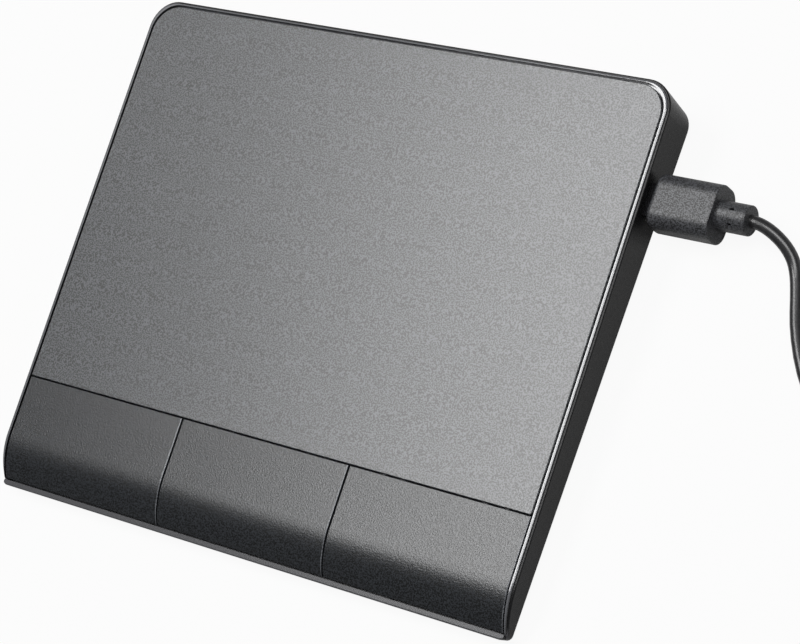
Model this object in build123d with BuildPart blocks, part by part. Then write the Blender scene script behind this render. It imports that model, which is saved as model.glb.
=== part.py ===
from build123d import *

import os
from math import asin, cos, pi, radians, sin, sqrt, tan

# A wired desk trackpad: a wedge shaped tub with a stepped bezel, a textured touch surface and three buttons that
# roll over the front edge. Lengths are in millimetres. X runs to the right, Y to the rear and Z up, and the origin
# is on the table, below the middle of the housing. Distances named "reach" run from the rear rim along the deck
# towards the front, and depths run down from the deck, square to it.

# Body
body_width = 130.0
deck_length = 109.0
rear_height = 11.6
front_height = 5.82
wall_draft = 7.6
rim_draft = 5.0
wall = 1.8
floor_thickness = 1.6
rear_corner_radius = 6.3
front_corner_radius = 2.0
roll_length = 11.0
roll_drop = 4.8
overrun = 2.0
running_gap = 0.05
fit_gap = 0.1

# Rim, from the outer edge inwards: the shoulder of the tub, the land of the bezel, then the groove
shoulder_width = 0.45
shoulder_drop = 0.35
shoulder_rounding = 0.3
side_rim = 1.1
rear_rim = 0.9
groove = 0.4
bezel_depth = 2.6
land_rounding = 0.35
ledge_width = 6.5
recess_corner_radius = 6.1

# Touch surface and what is glued under it
surface_thickness = 1.0
surface_gap = 0.2
surface_edge = 0.15
adhesive_thickness = 0.15
sensor_thickness = 1.0
sensor_margin = 0.5
sensor_corner = 1.5
chip_height = 0.9
touch_chip_size = 6.0

# Buttons
button_gap = 0.4
button_thickness = 1.5
button_edge = 0.2
button_length = 21.75
button_front_inset = 1.85
skirt_thickness = 1.0
skirt_depth = 4.4
rib_thickness = 0.8
rib_inset = 1.4
rib_depth = 2.2
rib_start = 3.2
rib_end = 8.0
nub_diameter = 2.6
nub_gap = 0.05

# Button pivots
pivot_inset = 1.8
pivot_depth = 2.7
journal_radius = 0.8
hook_wall = 0.65
hook_width = 3.0
hook_side_gap = 0.2
hook_mouth = 1.2
hook_offset = 12.0
lug_thickness = 1.2
lug_nose = 1.0
lug_top_depth = 1.85
bar_width = 4.0
bar_rib_depth = 3.6
bar_rib_width = 1.2

# Front lip of the tub
lip_gap = 0.3
lip_top_depth = 3.2
lip_rounding = 0.3
skirt_groove_floor = 0.7
skirt_groove_width = 3.0

# Feet
foot_height = 1.2
foot_diameter = 9.0
foot_recess = 0.5
foot_edge = 0.4
foot_side_inset = 13.0
foot_rear_inset = 17.0
foot_front_inset = 20.0

# Housing screws
screw_diameter = 2.0
screw_clearance = 2.4
screw_head_diameter = 3.8
screw_head_height = 1.1
screw_length = 4.2
screw_drive = 1.8
screw_drive_depth = 0.6
boss_diameter = 5.0
pad_diameter = 6.4
pad_height = 1.2
counterbore_diameter = 4.4
counterbore_depth = 1.6
boss_side_inset = 5.8
boss_rear_inset = 6.4
boss_front_gap = 2.8

# Switch board and its three tactile switches
board_thickness = 0.8
switch_board_rest = 0.3
switch_board_side_gap = 4.5
switch_board_width = 10.0
switch_front_gap = 9.65
switch_size = 5.2
switch_body_height = 1.3
switch_corner = 0.5
plunger_diameter = 2.0
plunger_stand = 0.5
plunger_in_body = 0.75
plunger_travel = 0.25
rest_pad_diameter = 3.0

# Main board
main_board_length = 32.0
main_board_width = 25.0
main_board_thickness = 1.0
main_board_rear_gap = 9.6
main_board_side_gap = 1.2
standoff_diameter = 3.6
standoff_inset = 2.6
board_screw_diameter = 1.6
board_screw_head = 2.8
board_screw_head_height = 0.8
board_screw_length = 2.2
controller_size = 7.0
controller_lead_span = 9.0
controller_lead_thickness = 0.2
crystal_length = 5.0
crystal_width = 3.2
crystal_height = 1.1
capacitor_length = 1.6
capacitor_width = 0.8
capacitor_height = 0.6
capacitor_pitch = 2.6

# Flat flex cables and their sockets
flex_width = 5.0
flex_thickness = 0.3
flex_radius = 1.0
flex_lead = 2.0
socket_width = 7.0
socket_length = 4.0
socket_height = 1.2
sensor_flex_run = 10.4
sensor_flex_offset = 2.0
switch_flex_offset = 4.6

# USB port and the metal of the plug in it
port_rear_inset = 21.6
port_level_share = 0.417
port_width = 7.6
port_height = 2.6
port_depth = 5.6
port_metal = 0.3
port_recess = 0.4
window_gap = 0.2
tongue_width = 3.7
tongue_thickness = 0.5
tongue_length = 3.4
port_back_thickness = 1.2
plug_metal = 0.25
plug_reach = 4.6

# Device plug: overmould and strain relief
overmould_gap = 1.15
overmould_length = 13.5
overmould_width = 10.9
overmould_height = 8.0
overmould_corner = 3.0
overmould_rear_edge = 1.2
overmould_front_edge = 0.25
relief_diameter = 5.8
relief_length = 6.4
relief_edge = 0.3
relief_hole_length = 1.0
relief_hole_width = 0.6
relief_hole_count = 6
relief_hole_depth = 1.0
relief_hole_place = 3.3
relief_hole_turn = 15.0

# Cord
cord_diameter = 2.5
coil_x = 144.0
coil_y = -22.0
coil_outer_radius = 19.1
coil_pitch = 2.98
layer_half_turns = 8
tie_thickness = 0.8
tie_width = 4.0
tie_gap = 0.15
tie_corner = 1.2

# Far plug
far_plug_x = 165.1
far_plug_y = 13.0
far_relief_length = 9.0
far_relief_diameter = 5.0
far_body_length = 19.0
far_body_width = 15.6
far_body_height = 8.0
far_body_edge = 1.5
far_shell_length = 12.0
far_shell_width = 12.0
far_shell_height = 4.5
far_metal = 0.35
far_insulator_thickness = 1.8
far_insulator_length = 11.0
far_contact_width = 1.0
far_contact_length = 7.0
far_contact_pitch = 2.2
far_contact_height = 0.15
far_contact_count = 4
latch_hole = 2.2
latch_hole_offset = 2.6
latch_hole_place = 6.4

os.makedirs("parts", exist_ok=True)

# Levels and places that follow from the sizes
slope_sin = (rear_height - front_height) / deck_length
slope_cos = cos(asin(slope_sin))
roll_start = deck_length - roll_length
roll_radius = (roll_length**2 + roll_drop**2) / (2 * roll_drop)
button_front_reach = deck_length - button_front_inset
button_rear_reach = button_front_reach - button_length
surface_front_reach = button_rear_reach - surface_gap
pivot_reach = button_rear_reach + pivot_inset
switch_reach = button_front_reach - switch_front_gap
boss_front_inset = surface_front_reach - boss_front_gap
floor_z = foot_height + floor_thickness
deck_rear_z = foot_height + rear_height
lip_reach = deck_length - lip_top_depth * tan(radians(wall_draft))
body_depth = lip_reach * slope_cos - lip_top_depth * slope_sin
rear_y = body_depth / 2
form_depth = rear_height + overrun
half_opening = body_width / 2 - side_rim
half_surface = half_opening - groove
surface_rear_reach = rear_rim + groove
lip_inner_reach = button_front_reach + lip_gap
button_width = (2 * half_surface - 2 * button_gap) / 3
button_pitch = button_width + button_gap
sensor_depth = surface_thickness + adhesive_thickness
sensor_underside = sensor_depth + sensor_thickness

deck = Plane(origin=(0, rear_y, deck_rear_z), x_dir=(1, 0, 0), z_dir=(0, -slope_sin, slope_cos))
side = Plane(origin=(0, rear_y, deck_rear_z), x_dir=(0, slope_cos, slope_sin), z_dir=(1, 0, 0))
deck_up = Axis((0, 0, 0), (0, -slope_sin, slope_cos))


def deck_y(reach, depth=0):
    """Y of a point on the side view of the deck."""
    return rear_y - reach * slope_cos + depth * slope_sin


def deck_z(reach, depth=0):
    """Z of a point on the side view of the deck."""
    return deck_rear_z - reach * slope_sin - depth * slope_cos


def surface_depth(reach, depth):
    """Depth below the flat deck of the skin that lies a given depth under the top, also along the front roll."""
    past = max(reach - roll_start, 0)
    return roll_radius - sqrt((roll_radius - depth) ** 2 - past**2)


def skin_line(top, rear, front):
    """Adds the side view's line of the skin at one depth, from the rear to the front."""
    if rear < roll_start:
        Line((-rear, -top), (-roll_start, -top))
    middle = (roll_start + front) / 2
    ThreePointArc(
        (-roll_start, -top),
        (-middle, -surface_depth(middle, top)),
        (-front, -surface_depth(front, top)),
    )


def deck_band(top, bottom, rear, front):
    """Adds the side view of a layer under the top, which bends down with the front roll."""
    with BuildLine() as outline:
        skin_line(top, rear, front)
        Line((-front, -surface_depth(front, top)), (-front, -surface_depth(front, bottom)))
        skin_line(bottom, rear, front)
        Line((-rear, -bottom), (-rear, -top))
    make_face(outline.edges())


def below_deck(top, bottom, rear, front):
    """Adds the side view of all that lies between the skin at one depth and a level far below."""
    with BuildLine() as outline:
        skin_line(top, rear, front)
        Polyline(
            (-front, -surface_depth(front, top)),
            (-front, -bottom),
            (-rear, -bottom),
            (-rear, -top),
        )
    make_face(outline.edges())


def rim_plan(side_inset, rear_inset, front, rear_radius, front_radius):
    """Adds the plan of the rim, drawn in from its sides and rear, with its rear and front corners rounded."""
    with Locations((0, -(rear_inset + front) / 2)):
        Rectangle(body_width - 2 * side_inset, front - rear_inset)
    fillet(vertices().group_by(Axis.Y)[-1], rear_radius)
    fillet(vertices().group_by(Axis.Y)[0], front_radius)


def rim_block(inset):
    """Block inside the shoulder, drawn in by a distance, whose sides lean in less than the outer wall does."""
    with BuildPart() as block:
        with BuildSketch(deck):
            rim_plan(inset, inset, deck_length, rear_corner_radius - inset, front_corner_radius / 2)
        extrude(amount=-form_depth, taper=rim_draft)
        extrude(faces().sort_by(deck_up)[-1], amount=overrun)
        split(bisect_by=Plane.XY.offset(floor_z), keep=Keep.TOP)
    return block.part


def skin_edges(candidates, depth):
    """Edges that lie on the skin at one depth, without the seam where its front roll starts."""
    chosen = []
    for edge in candidates:
        points = [side.to_local_coords(edge @ share) for share in (0, 0.5, 1)]
        on_skin = all(abs(point.Y + surface_depth(-point.X, depth)) < running_gap / 2 for point in points)
        seam = all(abs(point.X + roll_start) < running_gap / 2 for point in points)
        if on_skin and not seam:
            chosen.append(edge)
    return ShapeList(chosen)


def finish(builder, name):
    """Names a finished piece and writes it."""
    builder.part.label = name
    export_step(builder.part, f"parts/{name}.step")


# Outer form of the tub before it is hollowed: drafted walls under the plan of the deck
with BuildPart() as outer_form:
    with BuildSketch(deck):
        rim_plan(0, 0, deck_length, rear_corner_radius, front_corner_radius)
    extrude(amount=-form_depth, taper=wall_draft)
    split(bisect_by=Plane.XY.offset(foot_height), keep=Keep.TOP)

# Inside of the tub, which keeps the same draft and stops at the floor
with BuildPart() as cavity:
    with BuildSketch(deck):
        rim_plan(wall, wall, deck_length - wall, rear_corner_radius - wall, front_corner_radius / 2)
    extrude(amount=-form_depth, taper=wall_draft)
    split(bisect_by=Plane.XY.offset(floor_z), keep=Keep.TOP)

# Step in the wall that the bezel drops into
with BuildPart() as rebate:
    with BuildSketch(side):
        deck_band(-overrun, bezel_depth, shoulder_width, button_front_reach + running_gap)
    extrude(amount=body_width, both=True)
    add(rim_block(shoulder_width), mode=Mode.INTERSECT)

# Lip of the tub in front of the buttons
with BuildPart() as front_lip:
    add(outer_form.part)
    with BuildSketch(side):
        with Locations((-(lip_inner_reach + overrun), -(lip_top_depth + form_depth / 2))):
            Rectangle(2 * overrun, form_depth)
    extrude(amount=half_opening, both=True, mode=Mode.INTERSECT)
    fillet(edges().filter_by(Axis.X).group_by(deck_up)[-1].sort_by(Axis.Y)[0], lip_rounding)

# Places of the screws, the feet and the boards on the floor
screw_x = body_width / 2 - boss_side_inset
screw_places = [(x, rear_y - inset) for inset in (boss_rear_inset, boss_front_inset) for x in (-screw_x, 0, screw_x)]
foot_x = body_width / 2 - foot_side_inset
foot_places = {
    "rear_left_foot": (-foot_x, rear_y - foot_rear_inset),
    "rear_right_foot": (foot_x, rear_y - foot_rear_inset),
    "front_left_foot": (-foot_x, foot_front_inset - rear_y),
    "front_right_foot": (foot_x, foot_front_inset - rear_y),
}
port_y = rear_y - port_rear_inset
port_z = foot_height + port_level_share * (rear_height - port_rear_inset * slope_sin)
main_board_top = port_z - port_height / 2
main_board_rest = main_board_top - main_board_thickness - floor_z
port_wall_drop = (deck_rear_z - port_rear_inset * slope_sin - port_z) / slope_cos
port_wall_x = body_width / 2 - port_wall_drop * tan(radians(wall_draft))
inner_wall_x = body_width / 2 - wall - port_wall_drop * tan(radians(wall_draft))
main_board_right = inner_wall_x - main_board_side_gap
main_board_x = main_board_right - main_board_length / 2
main_board_y = rear_y - main_board_rear_gap - main_board_width / 2
standoff_span_x = main_board_length - 2 * standoff_inset
standoff_span_y = main_board_width - 2 * standoff_inset
switch_board_y = deck_y(switch_reach)
switch_board_bottom = floor_z + switch_board_rest
switch_board_top = switch_board_bottom + board_thickness
switch_board_length = 2 * (half_surface - switch_board_side_gap)
post_place_shares = [(-0.42, 0.22), (0, 0.22), (-0.42, -0.14), (0, -0.14), (0.2, -0.14)]

# Posts under the sensor board, cut off at its underside
with BuildPart() as sensor_posts:
    with BuildSketch(Plane.XY.offset(floor_z)):
        with Locations(*[(x * body_width, y * body_depth) for x, y in post_place_shares]):
            Circle(rest_pad_diameter / 2)
    extrude(amount=rear_height)
    with BuildSketch(side):
        below_deck(sensor_underside + running_gap, form_depth, 0, deck_length)
    extrude(amount=body_width, both=True, mode=Mode.INTERSECT)

with BuildPart() as base_case:
    add(outer_form.part)
    with BuildSketch(side):
        below_deck(shoulder_drop, form_depth + overrun, -overrun, deck_length + running_gap)
    extrude(amount=body_width, both=True, mode=Mode.INTERSECT)
    fillet(skin_edges(edges(), shoulder_drop), shoulder_rounding)
    add(front_lip.part)
    add(cavity.part, mode=Mode.SUBTRACT)
    add(rebate.part, mode=Mode.SUBTRACT)
    # Groove that the front skirts of the buttons dip into
    with BuildSketch(Plane.XY.offset(foot_height + skirt_groove_floor)):
        with Locations((0, deck_y(lip_inner_reach, lip_top_depth) + skirt_groove_width / 2)):
            Rectangle(2 * half_surface + groove, skirt_groove_width)
    extrude(amount=rear_height, mode=Mode.SUBTRACT)
    # Pads round the screws, standoffs of the boards and posts under the sensor board
    with BuildSketch(Plane.XY.offset(floor_z)):
        with Locations(*screw_places):
            Circle(pad_diameter / 2)
    extrude(amount=pad_height)
    with BuildSketch(Plane.XY.offset(floor_z)):
        with Locations((main_board_x, main_board_y)):
            with GridLocations(standoff_span_x, standoff_span_y, 2, 2):
                Circle(standoff_diameter / 2)
    extrude(amount=main_board_rest)
    with BuildSketch(Plane.XY.offset(floor_z)):
        with Locations((0, switch_board_y)):
            with GridLocations(button_pitch, switch_board_width - rest_pad_diameter, 3, 2):
                Circle(rest_pad_diameter / 2)
    extrude(amount=switch_board_rest)
    add(sensor_posts.part)
    # Screw holes with sunk heads, and blind holes for the screws of the main board
    with Locations(*[Location((x, y, foot_height), (180, 0, 0)) for x, y in screw_places]):
        CounterBoreHole(screw_clearance / 2, counterbore_diameter / 2, counterbore_depth, floor_thickness + pad_height)
    with BuildSketch(Plane.XY.offset(floor_z + main_board_rest)):
        with Locations((main_board_x, main_board_y + standoff_span_y / 2)):
            with GridLocations(standoff_span_x, 0, 2, 1):
                Circle(board_screw_diameter / 2)
    extrude(amount=main_board_thickness - board_screw_length - fit_gap, mode=Mode.SUBTRACT)
    # Shallow recesses for the feet
    with BuildSketch(Plane.XY.offset(foot_height)):
        with Locations(*foot_places.values()):
            Circle(foot_diameter / 2 + fit_gap)
    extrude(amount=foot_recess, mode=Mode.SUBTRACT)
    # Window in the right wall for the USB port
    with BuildSketch(Plane.YZ.offset(inner_wall_x - overrun)):
        with Locations((port_y, port_z)):
            RectangleRounded(port_width + 2 * window_gap, port_height + 2 * window_gap, port_height / 3)
    extrude(amount=wall + 2 * overrun, mode=Mode.SUBTRACT)
finish(base_case, "base_case")

# Opening in the bezel for the touch surface and the buttons
with BuildPart() as top_opening:
    with BuildSketch(side):
        deck_band(-overrun, surface_thickness, rear_rim, button_front_reach + running_gap)
    extrude(amount=body_width, both=True)
    with BuildSketch(deck.offset(overrun)):
        rim_plan(side_rim, rear_rim, deck_length + 2 * overrun, recess_corner_radius, surface_edge)
    extrude(amount=-form_depth - overrun, mode=Mode.INTERSECT)

# Screw bosses that hang from the ledge of the bezel
with BuildPart() as bezel_bosses:
    with BuildSketch(Plane.XY.offset(floor_z + pad_height)):
        with Locations(*screw_places):
            Circle(boss_diameter / 2)
    extrude(amount=rear_height)
    with BuildSketch(side):
        below_deck(surface_thickness, form_depth, 0, deck_length)
    extrude(amount=body_width, both=True, mode=Mode.INTERSECT)

hook_places = [button * button_pitch + offset for button in (-1, 0, 1) for offset in (-hook_offset, hook_offset)]
lug_places = [x + end * (hook_width / 2 + hook_side_gap + lug_thickness / 2) for x in hook_places for end in (-1, 1)]
bar_rear_reach = surface_front_reach - bar_width

with BuildPart() as bezel_frame:
    with BuildSketch(side):
        deck_band(0, bezel_depth, shoulder_width + running_gap, button_front_reach)
    extrude(amount=body_width, both=True)
    add(rim_block(shoulder_width + running_gap), mode=Mode.INTERSECT)
    fillet(skin_edges(edges(), 0).sort_by(Axis.Y)[1:], land_rounding)
    add(top_opening.part, mode=Mode.SUBTRACT)
    # Window behind the touch surface, then the open bay of the buttons
    with BuildSketch(deck):
        rim_plan(ledge_width, ledge_width, bar_rear_reach, front_corner_radius, surface_edge)
    extrude(amount=-form_depth, mode=Mode.SUBTRACT)
    with BuildSketch(deck):
        with Locations((0, -(surface_front_reach + deck_length + overrun) / 2)):
            Rectangle(2 * half_opening, deck_length + overrun - surface_front_reach)
    extrude(amount=-form_depth, mode=Mode.SUBTRACT)
    # Stiffening rib under the cross bar
    with BuildSketch(deck.offset(-surface_thickness)):
        with Locations((0, -surface_front_reach + bar_rib_width / 2)):
            Rectangle(2 * (half_opening - ledge_width), bar_rib_width)
    extrude(amount=surface_thickness - bar_rib_depth)
    add(bezel_bosses.part)
    # Lugs and journals that the buttons tip about
    with BuildSketch(*[side.offset(x - lug_thickness / 2) for x in lug_places]):
        with BuildLine():
            Polyline(
                (-surface_front_reach, -lug_top_depth),
                (-pivot_reach - lug_nose, -lug_top_depth),
                (-pivot_reach - lug_nose, -pivot_depth - lug_nose),
                (-surface_front_reach, -bar_rib_depth),
                close=True,
            )
        make_face()
    extrude(amount=lug_thickness)
    with BuildSketch(*[side.offset(x - hook_width / 2 - hook_side_gap - lug_thickness / 2) for x in hook_places]):
        with Locations((-pivot_reach, -pivot_depth)):
            Circle(journal_radius)
    extrude(amount=hook_width + 2 * hook_side_gap + lug_thickness)
    # Pilot holes in the bosses
    with BuildSketch(Plane.XY.offset(floor_z + pad_height)):
        with Locations(*screw_places):
            Circle(screw_diameter / 2 + running_gap)
    extrude(amount=screw_length + counterbore_depth - pad_height - floor_thickness + fit_gap, mode=Mode.SUBTRACT)
finish(bezel_frame, "bezel_frame")

with BuildPart() as touch_surface:
    with BuildSketch(deck):
        with Locations((0, -(surface_rear_reach + surface_front_reach) / 2)):
            Rectangle(2 * half_surface, surface_front_reach - surface_rear_reach)
        fillet(vertices().group_by(Axis.Y)[-1], recess_corner_radius - groove / 2)
        fillet(vertices().group_by(Axis.Y)[0], surface_edge * 2)
    extrude(amount=-surface_thickness)
    chamfer(faces().sort_by(deck_up)[-1].edges(), surface_edge)
finish(touch_surface, "touch_surface")

# The sensor board lies between the screw bosses
sensor_half = screw_x - boss_diameter / 2 - sensor_margin
sensor_rear_reach = boss_rear_inset + boss_diameter / 2 + sensor_margin
sensor_front_reach = boss_front_inset - boss_diameter / 2 - sensor_margin
sensor_middle = (sensor_rear_reach + sensor_front_reach) / 2

with BuildPart() as adhesive_sheet:
    with BuildSketch(deck.offset(-surface_thickness)):
        with Locations((0, -sensor_middle)):
            RectangleRounded(2 * sensor_half, sensor_front_reach - sensor_rear_reach, sensor_corner)
    extrude(amount=-adhesive_thickness)
finish(adhesive_sheet, "adhesive_sheet")

with BuildPart() as sensor_board:
    with BuildSketch(deck.offset(-sensor_depth)):
        with Locations((0, -sensor_middle)):
            RectangleRounded(2 * sensor_half, sensor_front_reach - sensor_rear_reach, sensor_corner)
    extrude(amount=-sensor_thickness)
finish(sensor_board, "sensor_board")

with BuildPart() as touch_chip:
    with BuildSketch(deck.offset(-sensor_underside)):
        with Locations((0, -sensor_middle)):
            Rectangle(touch_chip_size, touch_chip_size)
    extrude(amount=-chip_height)
finish(touch_chip, "touch_chip")

sensor_socket_reach = main_board_rear_gap + main_board_width + sensor_flex_run
sensor_flex_x = main_board_x - main_board_length / 2 + sensor_flex_offset + socket_width / 2
switch_flex_x = main_board_right - switch_flex_offset - socket_width / 2

with BuildPart() as sensor_socket:
    with BuildSketch(deck.offset(-sensor_underside)):
        with Locations((sensor_flex_x, -sensor_socket_reach)):
            Rectangle(socket_width, socket_length)
    extrude(amount=-socket_height)
finish(sensor_socket, "sensor_socket")

# Three buttons: each has a cap that bends down at the front, a skirt behind the lip, ribs, hooks and a nub
switch_top = switch_board_top + switch_body_height
plunger_top = switch_top + plunger_stand
button_names = ("left_button", "middle_button", "right_button")

for index, name in enumerate(button_names):
    middle_x = (index - 1) * button_pitch
    left_x = middle_x - button_width / 2
    with BuildPart() as button:
        with BuildSketch(side.offset(left_x)):
            deck_band(0, button_thickness, button_rear_reach, button_front_reach)
        extrude(amount=button_width)
        split(bisect_by=deck.offset(-skirt_depth), keep=Keep.TOP)
        fillet(skin_edges(edges(), 0), button_edge)
        with BuildSketch(side.offset(left_x + rib_inset)):
            with BuildLine():
                Polyline(
                    (-button_front_reach, -surface_depth(button_front_reach, button_edge + running_gap)),
                    (-button_front_reach, -skirt_depth),
                    (-button_front_reach + skirt_thickness, -skirt_depth),
                    (-button_front_reach + skirt_thickness, -surface_depth(button_front_reach, 0) + running_gap),
                    close=True,
                )
            make_face()
        extrude(amount=button_width - 2 * rib_inset)
        with BuildSketch(side.offset(left_x + rib_inset), side.offset(left_x + button_width - rib_inset - rib_thickness)):
            deck_band(
                button_thickness - running_gap,
                rib_depth,
                pivot_reach + rib_start,
                button_front_reach - rib_end,
            )
        extrude(amount=rib_thickness)
        with BuildSketch(*[side.offset(middle_x + place - hook_width / 2) for place in (-hook_offset, hook_offset)]):
            with Locations((-pivot_reach, -pivot_depth)):
                Circle(journal_radius + running_gap + hook_wall)
                Circle(journal_radius + running_gap, mode=Mode.SUBTRACT)
            with Locations((-pivot_reach, -pivot_depth - journal_radius - hook_wall)):
                Rectangle(hook_mouth, 2 * (journal_radius + hook_wall), mode=Mode.SUBTRACT)
        extrude(amount=hook_width)
        with BuildSketch(Plane.XY.offset(plunger_top + nub_gap)):
            with Locations((middle_x, switch_board_y)):
                Circle(nub_diameter / 2)
        extrude(until=Until.NEXT)
    finish(button, name)

with BuildPart() as switch_board:
    with BuildSketch(Plane.XY.offset(switch_board_bottom)):
        with Locations((0, switch_board_y)):
            RectangleRounded(switch_board_length, switch_board_width, sensor_corner)
    extrude(amount=board_thickness)
finish(switch_board, "switch_board")

for index, name in enumerate(("left", "middle", "right")):
    middle_x = (index - 1) * button_pitch
    with BuildPart() as switch_body:
        with BuildSketch(Plane.XY.offset(switch_board_top)):
            with Locations((middle_x, switch_board_y)):
                Rectangle(switch_size, switch_size)
            chamfer(vertices(), switch_corner)
        extrude(amount=switch_body_height)
        with BuildSketch(Plane.XY.offset(switch_top)):
            with Locations((middle_x, switch_board_y)):
                Circle(plunger_diameter / 2 + running_gap)
        extrude(amount=-(plunger_in_body + plunger_travel + running_gap), mode=Mode.SUBTRACT)
    finish(switch_body, f"{name}_switch_body")
    with BuildPart() as plunger:
        with BuildSketch(Plane.XY.offset(switch_top - plunger_in_body)):
            with Locations((middle_x, switch_board_y)):
                Circle(plunger_diameter / 2)
        extrude(amount=plunger_in_body + plunger_stand)
    finish(plunger, f"{name}_switch_plunger")

for name, (x, y) in foot_places.items():
    with BuildPart() as foot:
        with BuildSketch():
            with Locations((x, y)):
                Circle(foot_diameter / 2)
        extrude(amount=foot_height + foot_recess)
        fillet(edges().group_by(Axis.Z)[0], foot_edge)
    finish(foot, name)

with BuildPart() as housing_screws:
    with BuildSketch(Plane.XY.offset(foot_height + counterbore_depth)):
        with Locations(*screw_places):
            Circle(screw_diameter / 2 - running_gap)
    extrude(amount=screw_length)
    with BuildSketch(Plane.XY.offset(foot_height + counterbore_depth)):
        with Locations(*screw_places):
            Circle(screw_head_diameter / 2)
    extrude(amount=-screw_head_height)
    with BuildSketch(Plane.XY.offset(foot_height + counterbore_depth - screw_head_height)):
        with Locations(*screw_places):
            RegularPolygon(screw_drive / 2, 6)
    extrude(amount=screw_drive_depth, mode=Mode.SUBTRACT)
finish(housing_screws, "housing_screws")

with BuildPart() as main_board:
    with BuildSketch(Plane.XY.offset(floor_z + main_board_rest)):
        with Locations((main_board_x, main_board_y)):
            Rectangle(main_board_length, main_board_width)
        with Locations((main_board_x, main_board_y + standoff_span_y / 2)):
            with GridLocations(standoff_span_x, 0, 2, 1):
                Circle(board_screw_diameter / 2 + fit_gap, mode=Mode.SUBTRACT)
    extrude(amount=main_board_thickness)
finish(main_board, "main_board")

with BuildPart() as board_screws:
    with BuildSketch(Plane.XY.offset(main_board_top)):
        with Locations((main_board_x, main_board_y + standoff_span_y / 2)):
            with GridLocations(standoff_span_x, 0, 2, 1):
                Circle(board_screw_head / 2)
    extrude(amount=board_screw_head_height)
    with BuildSketch(Plane.XY.offset(main_board_top)):
        with Locations((main_board_x, main_board_y + standoff_span_y / 2)):
            with GridLocations(standoff_span_x, 0, 2, 1):
                Circle(board_screw_diameter / 2 - running_gap)
    extrude(amount=-board_screw_length)
finish(board_screws, "board_screws")

with BuildPart() as controller_chip:
    with BuildSketch(Plane.XY.offset(main_board_top)):
        with Locations((main_board_x, main_board_y)):
            Rectangle(controller_lead_span, controller_size - 1.2 * board_thickness)
            Rectangle(controller_size - 1.2 * board_thickness, controller_lead_span)
    extrude(amount=controller_lead_thickness)
    with BuildSketch(Plane.XY.offset(main_board_top + controller_lead_thickness)):
        with Locations((main_board_x, main_board_y)):
            Rectangle(controller_size, controller_size)
    extrude(amount=chip_height)
finish(controller_chip, "controller_chip")

with BuildPart() as crystal:
    with BuildSketch(Plane.XY.offset(main_board_top)):
        with Locations((main_board_x - controller_lead_span, main_board_y + controller_size / 2)):
            RectangleRounded(crystal_length, crystal_width, crystal_width / 4)
    extrude(amount=crystal_height)
finish(crystal, "crystal")

with BuildPart() as board_capacitors:
    with BuildSketch(Plane.XY.offset(main_board_top)):
        with Locations((main_board_x, main_board_y + controller_lead_span / 2 + capacitor_length)):
            with GridLocations(capacitor_pitch, 0, 4, 1):
                Rectangle(capacitor_width, capacitor_length)
    extrude(amount=capacitor_height)
finish(board_capacitors, "board_capacitors")

# Sockets on the front edge of the main board and on the switch board
socket_y = main_board_y - main_board_width / 2 + socket_length / 2
switch_socket_y = switch_board_y + switch_board_width / 2 - socket_length / 2
for name, x, y, z in (
    ("sensor_flex_socket", sensor_flex_x, socket_y, main_board_top),
    ("switch_flex_socket", switch_flex_x, socket_y, main_board_top),
    ("switch_board_socket", switch_flex_x, switch_socket_y, switch_board_top),
):
    with BuildPart() as socket:
        with BuildSketch(Plane.XY.offset(z)):
            with Locations((x, y)):
                Rectangle(socket_width, socket_length)
        extrude(amount=socket_height)
    finish(socket, name)

# Flat flex cables, seen from the side as thin bent strips
flex_z = main_board_top + socket_height / 2
sensor_flex_start = (
    deck_y(sensor_socket_reach - socket_length / 2, sensor_underside + socket_height / 2),
    deck_z(sensor_socket_reach - socket_length / 2, sensor_underside + socket_height / 2),
)
board_front_y = socket_y - socket_length / 2
with BuildPart() as sensor_flex_cable:
    with BuildSketch(Plane.YZ.offset(sensor_flex_x - flex_width / 2)):
        with BuildLine():
            FilletPolyline(
                sensor_flex_start,
                (sensor_flex_start[0] + flex_lead, sensor_flex_start[1]),
                (board_front_y - flex_lead, flex_z),
                (board_front_y, flex_z),
                radius=flex_radius,
            )
        trace(line_width=flex_thickness)
    extrude(amount=flex_width)
finish(sensor_flex_cable, "sensor_flex_cable")

flex_floor_z = floor_z + flex_thickness
switch_flex_end = switch_socket_y + socket_length / 2
with BuildPart() as switch_flex_cable:
    with BuildSketch(Plane.YZ.offset(switch_flex_x - flex_width / 2)):
        with BuildLine():
            FilletPolyline(
                (board_front_y, flex_z),
                (board_front_y - flex_lead, flex_z),
                (board_front_y - 2 * flex_lead, flex_floor_z),
                (switch_flex_end + 2 * flex_lead, flex_floor_z),
                (switch_flex_end + flex_lead, switch_board_top + socket_height / 2),
                (switch_flex_end, switch_board_top + socket_height / 2),
                radius=flex_radius,
            )
        trace(line_width=flex_thickness)
    extrude(amount=flex_width)
finish(switch_flex_cable, "switch_flex_cable")

# USB port: a folded steel shell with a back wall and a tongue, and the plug's metal inside it
port_front_x = port_wall_x - port_recess
port_mouth = Plane(origin=(port_front_x, port_y, port_z), x_dir=(0, 1, 0), z_dir=(1, 0, 0))
port_corner = port_height / 4
with BuildPart() as port_shell:
    with BuildSketch(port_mouth):
        RectangleRounded(port_width, port_height, port_corner)
        RectangleRounded(
            port_width - 2 * port_metal, port_height - 2 * port_metal, port_corner - port_metal, mode=Mode.SUBTRACT
        )
    extrude(amount=-port_depth)
finish(port_shell, "port_shell")

with BuildPart() as port_tongue:
    with BuildSketch(port_mouth.offset(-port_depth)):
        RectangleRounded(
            port_width - 2 * port_metal - running_gap,
            port_height - 2 * port_metal - running_gap,
            port_corner - port_metal,
        )
    extrude(amount=port_back_thickness)
    with BuildSketch(port_mouth.offset(port_back_thickness - port_depth)):
        with Locations((0, tongue_thickness / 2)):
            Rectangle(tongue_width, tongue_thickness)
    extrude(amount=tongue_length)
finish(port_tongue, "port_tongue")

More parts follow.
